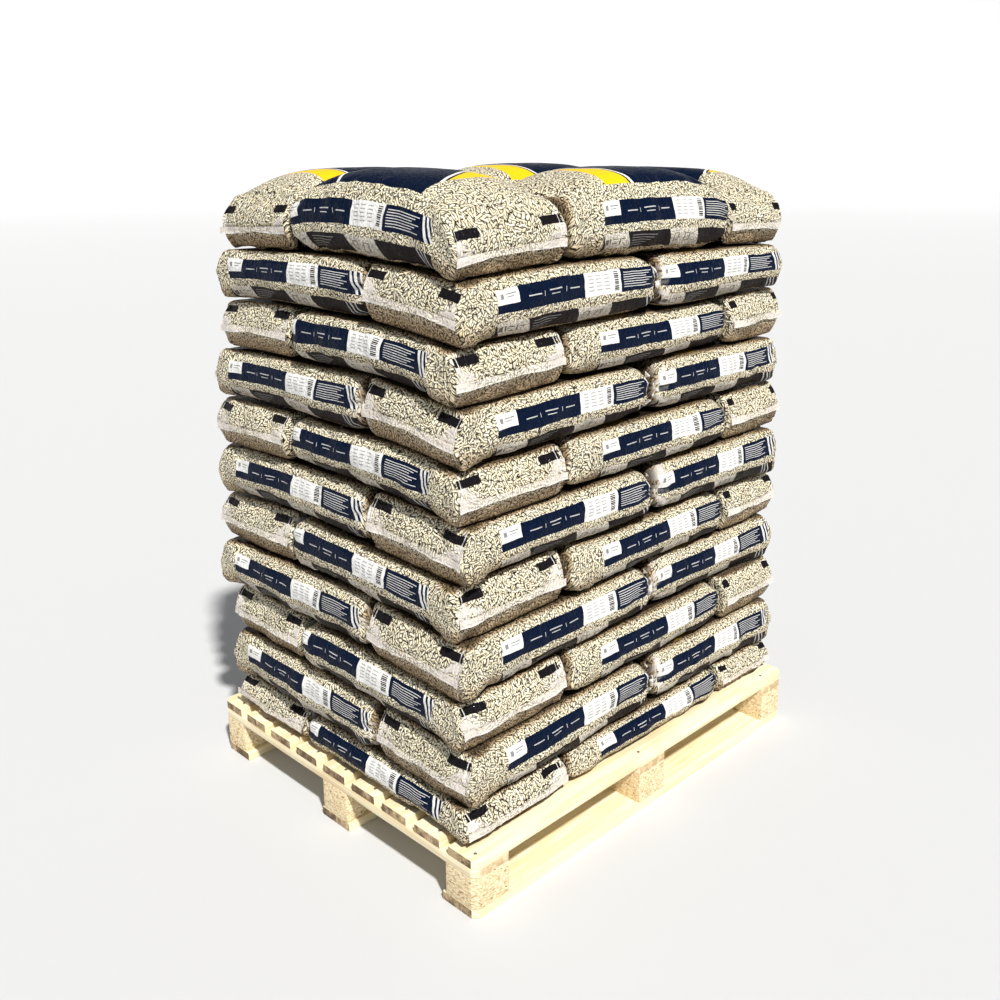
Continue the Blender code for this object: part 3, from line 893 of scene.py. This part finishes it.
def shape_sack(sack, lattice):
    """Local surface of a sack, its smooth form for the print, how slack the film is at each point, and the shade
    painted on it.
    """
    x, y, z = lattice.points.T
    a, b, height = sack.half_length, sack.half_width, sack.height
    from_end = a * (1 - np.abs(x))
    free_end, free_side = by_side(sack.free_ends, x), by_side(sack.free_sides, y)
    tip = 1 - smooth_rise(from_end / 0.100)
    boxy = free_end * (1 - smooth_rise(from_end / 0.095))
    shoulder = SACK_SHOULDER + (END_SHOULDER - SACK_SHOULDER) * boxy
    rise = min(0.5 * height, 0.060) * (1 - 0.60 * boxy)
    corner = np.where(free_end > 0, FREE_END_ROUNDING, NOSE_ROUNDING)
    round_off = corner * quarter_round(1 - from_end / corner)
    shifts = [sack.draw.uniform(-0.005, 0.005) for _ in range(4)]
    slopes = [sack.draw.uniform(-0.014, 0.014) for _ in range(4)]
    side_shift = by_side(shifts[:2], y) + by_side(slopes[:2], y) * x * a
    reach = b - 0.0008 - round_off - free_side * (SIDE_BOW * x**2 - 0.001 - side_shift)
    py, pz = sack_section(y, z, shoulder, reach, np.full(len(x), height / 2), rise)
    nose = quarter_round(1 - from_end / NOSE_LENGTH) * (1 - free_end)
    above = pz > 0
    narrowing = np.where(above, NOSE_NARROWING[0], NOSE_NARROWING[1]) * nose + 0.004 * tip * free_end
    pz = pz * (1 - 2 * narrowing * min(1.0, height / 0.120) / height)
    upward = np.clip((pz - WELD_LINE) / (height / 2 - WELD_LINE), 0, 1)
    downward = np.clip((WELD_LINE - pz) / (height / 2 + WELD_LINE), 0, 1)
    wedge = TOP_END_WEDGE if sack.on_top else END_WEDGE
    recede = free_end * (wedge[0] * upward**1.7 + wedge[1] * downward**1.5)
    recede = recede + (1 - free_end) * 0.030 * np.clip(np.abs(2 * pz / height), 0, 1) ** 2.5
    swell = 0.005 * free_end * (1 - np.clip(np.abs(py / b), 0, 1) ** 2)
    end_shift = by_side(shifts[2:], x) + by_side(slopes[2:], x) * py
    length = a - 0.0008 - recede - free_end * (0.001 + sack.set_back - swell - end_shift)
    px = x * length
    at_side = np.clip(np.abs(py) / b, 0, 1) ** 6
    near_weld = (1 - free_end) * free_side * smooth_rise(1 - from_end / 0.070)
    py = py - np.sign(py) * GUSSET_DEPTH * near_weld * np.exp(-((pz + 0.002) / 0.015) ** 2) * at_side
    if sack.on_top:
        crown = TOP_CROWN * (1 - np.abs(x) ** 3.6) * (1 - np.clip(np.abs(py) / b, 0, 1) ** 3.2)
        pz = pz + smooth_rise((pz / (height / 2) + 0.5) / 1.5) * crown
    smooth = np.column_stack([px, py, pz])
    normals = vertex_normals(smooth, lattice.faces)
    contact = 0.0 if sack.on_top else smooth_rise((normals[:, 2] - 0.75) / 0.2)
    contact = np.maximum(contact, smooth_rise((-normals[:, 2] - 0.75) / 0.2))
    place = sack.to_world(smooth)
    seed = sack.number * 10
    lumps = 0.0036 * sine_noise(place, 0.085, seed) + 0.0013 * sine_noise(place, 0.026, seed + 1, 11)
    fan = np.arctan2(pz, from_end + 0.018) * 7.0 + 1.5 * sine_noise(place, 0.09, seed + 2)
    ridge = np.abs(np.sin(fan))
    fold = (1 - free_end) * free_side * smooth_rise(1 - from_end / 0.105) * at_side**0.3
    pucker = np.abs(sine_noise(smooth * np.array([0.22, 1.0, 1.0]), 0.020, seed + 3, 9)) * 0.0026 * tip**1.4 * free_end
    local = smooth + normals * ((lumps - pucker - 0.0034 * ridge * fold) * (1 - 0.9 * contact))[:, None]
    for axis, half, free in ((0, a, free_end), (1, b, free_side)):
        kept = np.clip(local[:, axis], -(half - 0.0008), half - 0.0008)
        local[:, axis] = np.where(free > 0, local[:, axis], kept)
    slack = fold**1.3 * (1.25 - 0.8 * ridge) * sack.looseness
    # Painted shade, returned as the shade value: darker towards the underside, dark in the crevices along the upper and
    # lower edges (only the lower on the top layer), and dark at the hidden joints between sacks.
    level = 2 * smooth[:, 2] / height
    under = 0.36 * smooth_rise((-level - 0.10) / 0.75)
    nook = 0.90 * smooth_rise((np.maximum(-level, 0.0 if sack.on_top else level) - 0.84) / 0.12)
    joint = 0.85 * (1 - free_end) * smooth_rise((0.020 - from_end) / 0.016) * (level < 0.9)
    return local, smooth, slack, np.maximum(np.maximum(under, nook), joint)


def ribbon(rows, columns):
    """Faces of a thin strip with two skins and closed edges, from a grid of rows and columns of points a skin."""
    count = rows * columns
    faces = []
    for r in range(rows - 1):
        for c in range(columns - 1):
            i = r * columns + c
            faces.append((i, i + 1, i + columns + 1, i + columns))
            faces.append((count + i, count + i + columns, count + i + columns + 1, count + i + 1))
    edge = list(range(columns)) + [r * columns + columns - 1 for r in range(1, rows)]
    edge += [(rows - 1) * columns + c for c in range(columns - 2, -1, -1)]
    edge += [r * columns for r in range(rows - 2, 0, -1)]
    for i, j in zip(edge, edge[1:] + edge[:1]):
        faces.append((j, i, count + i, count + j))
    return faces


WELD_DROPS = (0.0, 0.35, 0.7, 1.0)
WELD_COLUMNS = 29
FILM_FOLD = 0.0009


def end_reach(lattice, local, end, y, z):
    """How far out the end face of a sack reaches at each y and z: the furthest of its four nearest points."""
    cap = local[lattice.points[:, 0] == (1 if end else -1)]
    distance = (cap[None, :, 1] - y[:, None]) ** 2 + (cap[None, :, 2] - z[:, None]) ** 2
    nearest = np.argsort(distance, axis=1)[:, :4]
    return np.abs(cap[nearest, 0]).max(axis=1)


def weld_strip(sack, end, lattice, local):
    """The welded hem of an end: a thin strip across the sack at mid height, folded down against its face."""
    seed = sack.number * 10 + 5 + end
    across = np.linspace(-1, 1, WELD_COLUMNS)
    share, drop, skin = np.array([(y, d, f) for f in (0, 1) for d in WELD_DROPS for y in across]).T
    y = share * (sack.half_width - 0.005)
    line = np.column_stack([y, drop * 0.02, np.zeros(len(y))])
    wave, rise = sine_noise(line, 0.07, seed), sine_noise(line * np.array([1.0, 0.0, 0.0]), 0.25, seed + 1)
    narrow = 0.28 * np.exp(-((share - 0.3 * rise) / 0.55) ** 2)
    line_up = WELD_LINE * sack.height / USUAL_HEIGHT + (TOP_END_SHIFT if sack.on_top else 0.0)
    z = line_up + 0.002 + 0.0015 * rise - drop * (0.0170 + 0.0006 * wave) * (1 - narrow)
    out = end_reach(lattice, local, end, y, z) + 0.0010 + drop * (0.0030 + 0.0016 * wave) + skin * FILM_FOLD
    faces = ribbon(len(WELD_DROPS), WELD_COLUMNS)
    if not end:
        faces = [face[::-1] for face in faces]
    slack = np.abs(share + 0.15 * wave) ** 1.5
    edge = 0.75 * (drop == 1.0) * smooth_rise((np.abs(share) + 0.2 * wave) / 0.6)
    return np.column_stack([out * (1 if end else -1), y, z]), faces, np.column_stack([y, z]), slack, edge


EAR_ROWS, EAR_COLUMNS = 4, 17


def film_ear(sack, end, side):
    """The end of a hidden weld: a crumpled strip of film that stands out of the joint between two sacks."""
    seed = sack.number * 10 + 7 + 2 * end + side
    out, up, skin = np.array([(o, u, f) for f in (0, 1) for o in np.linspace(0, 1, EAR_ROWS)
                              for u in np.linspace(-1, 1, EAR_COLUMNS)]).T
    line = np.column_stack([out * 0.02, up * 0.05, np.zeros(len(out))])
    wave = sine_noise(line, 0.030, seed, 9)
    tall = sack.height * (0.34 - 0.10 * out)
    z = up * tall - 0.004 + 0.003 * wave * out
    y = sack.half_width - 0.038 + 0.024 * out * (1 - 0.45 * up**2) + 0.0030 * wave * out
    x = sack.half_length - 0.0050 - 0.006 * out + 0.0045 * wave * out - skin * FILM_FOLD
    faces = ribbon(EAR_ROWS, EAR_COLUMNS)
    if end == side:
        faces = [face[::-1] for face in faces]
    points = np.column_stack([x * (1 if end else -1), y * (1 if side else -1), z])
    return points, faces, np.column_stack([up * 0.05, out * 0.02]), 0.35 + 0.4 * out, 0.9 * (out == 1.0)


LATTICES = {"side": Lattice(72, 24, 18), "core": Lattice(16, 8, 6), "top": Lattice(84, 40, 18)}


def trimmings(sack, lattice, local):
    """The strips of welded film on a sack: its free ends' hems, and the ears of its hidden ends at a free side."""
    made = []
    for end in (0, 1):
        if sack.free_ends[end]:
            made.append(weld_strip(sack, end, lattice, local))
            continue
        made += [film_ear(sack, end, side) for side in (0, 1) if sack.free_sides[side] and sack.looseness > 0.5]
    return made


def build_sack(sack):
    lattice = LATTICES["top" if sack.on_top else "core" if sack.hidden else "side"]
    local, smooth, slack, shade = shape_sack(sack, lattice)
    end_scale = USUAL_HEIGHT / sack.height
    end_place = local[:, 1:] * (1.0, end_scale) - (0.0, TOP_END_SHIFT if sack.on_top else 0.0)
    far, near = lattice.round_film(smooth)
    girth_scale = 2 * HALF_GIRTH / far[:, -1]
    print_scale = (SACK_LENGTH / (2 * sack.half_length)) ** PRINT_STRETCH
    swirl = 0.0045 * np.column_stack([sine_noise(smooth, 0.075, sack.number * 10 + 8), sine_noise(smooth, 0.075, 41)])
    offset = np.array([1.37, 0.71]) * sack.number
    wobble = 0.0008 * sine_noise(smooth, 0.060, sack.number * 10 + 9)
    film, pellets = [], []
    width = lattice.width
    for corners, on_cap in zip(lattice.faces, lattice.on_cap):
        first = corners[0] % width
        for c, step in zip(corners, (0, 1, 1, 0)):
            if on_cap:
                film.append(end_place[c])
                pellets.append(local[c][1:] + swirl[c] + offset)
                continue
            i, r = c // width, first + step
            girth = far[i, r] if first < width // 2 else near[i, r]
            film.append((smooth[c][0] * print_scale, girth * girth_scale[i] + wobble[c]))
            pellets.append(np.array((smooth[c][0], girth)) + swirl[c] + offset)
    points, faces = [sack.settle(local)], list(lattice.faces)
    materials = [END if on_cap else SIDE for on_cap in lattice.on_cap]
    looks = [np.column_stack([by_side(sack.shifts, smooth[:, 1]), slack, shade])]
    for strip, strip_faces, strip_film, strip_slack, strip_edge in trimmings(sack, lattice, local):
        start = sum(len(p) for p in points)
        points.append(sack.settle(strip))
        faces += [tuple(start + c for c in corners) for corners in strip_faces]
        materials += [WELD] * len(strip_faces)
        film += [strip_film[c] for corners in strip_faces for c in corners]
        pellets += [strip_film[c] + offset for corners in strip_faces for c in corners]
        looks.append(np.column_stack([np.zeros(len(strip)), strip_slack, strip_edge]))
    mesh = bpy.data.meshes.new(f"sack_{sack.layer + 1:02d}_{sack.cell + 1}")
    mesh.from_pydata(np.concatenate(points).tolist(), [], faces)
    for material in SACK_MATERIALS:
        mesh.materials.append(material)
    mesh.polygons.foreach_set("material_index", materials)
    for name, places in (("film", film), ("pellets", pellets)):
        mesh.uv_layers.new(name=name).data.foreach_set("uv", np.array(places).ravel())
    look = mesh.attributes.new("sack_look", "FLOAT_VECTOR", "POINT")
    look.data.foreach_set("vector", np.concatenate(looks).ravel())
    mesh.shade_smooth()
    mesh.set_sharp_from_angle(angle=math.radians(62))
    made = bpy.data.objects.new(mesh.name, mesh)
    collection.objects.link(made)
    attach(made, "root")
    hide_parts(f"sack_layer_{sack.layer + 1:02d}")


for layer, (low, high) in enumerate(LAYER_BASES):
    for cell in range(len(LAYER_CELLS)):
        build_sack(Sack(layer, cell, low, high))


# Floor and light
# A plain pale floor that curves up far away, a high key light from the right, and soft white light all round.
FLOOR_REACH = 26.0
FLOOR_CURVE = 12.0
FLOOR_SIDES = 64
floor_profile = [(0.0, 0.0), (FLOOR_REACH, 0.0)]
for step in range(1, 13):
    angle = math.radians(90) * step / 12
    floor_profile.append((FLOOR_REACH + FLOOR_CURVE * math.sin(angle), FLOOR_CURVE * (1 - math.cos(angle))))
bm = bmesh.new()
for (r0, z0), (r1, z1) in zip(floor_profile, floor_profile[1:]):
    for side in range(FLOOR_SIDES):
        turns = [2 * math.pi * (side + step) / FLOOR_SIDES for step in (0, 1)]
        ring = [(r0, z0, turns[0]), (r1, z1, turns[0]), (r1, z1, turns[1]), (r0, z0, turns[1])]
        bm.faces.new([bm.verts.new((r * math.cos(turn), r * math.sin(turn), z)) for r, z, turn in ring])
bmesh.ops.remove_doubles(bm, verts=bm.verts, dist=0.001)
floor_mesh = bpy.data.meshes.new("floor")
bm.to_mesh(floor_mesh)
bm.free()
floor_mesh.shade_smooth()
floor = bpy.data.objects.new("floor", floor_mesh)
bpy.context.scene.collection.objects.link(floor)
floor_material, floor_tree, floor_shader = new_material("pale_floor")
floor_shader.inputs["Base Color"].default_value = (0.62, 0.635, 0.66, 1)
floor_shader.inputs["Roughness"].default_value = 0.9
floor_mesh.materials.append(floor_material)

sun_data = bpy.data.lights.new("key_light", "SUN")
sun_data.energy = 4.7
sun_data.angle = math.radians(3.0)
sun_data.color = (1.0, 0.97, 0.92)
sun = bpy.data.objects.new("key_light", sun_data)
sun.rotation_euler = Vector((0.25, 0.57, -0.78)).to_track_quat("-Z", "Y").to_euler()
bpy.context.scene.collection.objects.link(sun)

world = bpy.data.worlds.new("studio")
world.use_nodes = True
world.node_tree.nodes["Background"].inputs["Color"].default_value = (1.0, 1.0, 1.0, 1)
world.node_tree.nodes["Background"].inputs["Strength"].default_value = 0.24
bpy.context.scene.world = world
bpy.context.scene.view_settings.view_transform = "Standard"

bpy.context.view_layer.update()
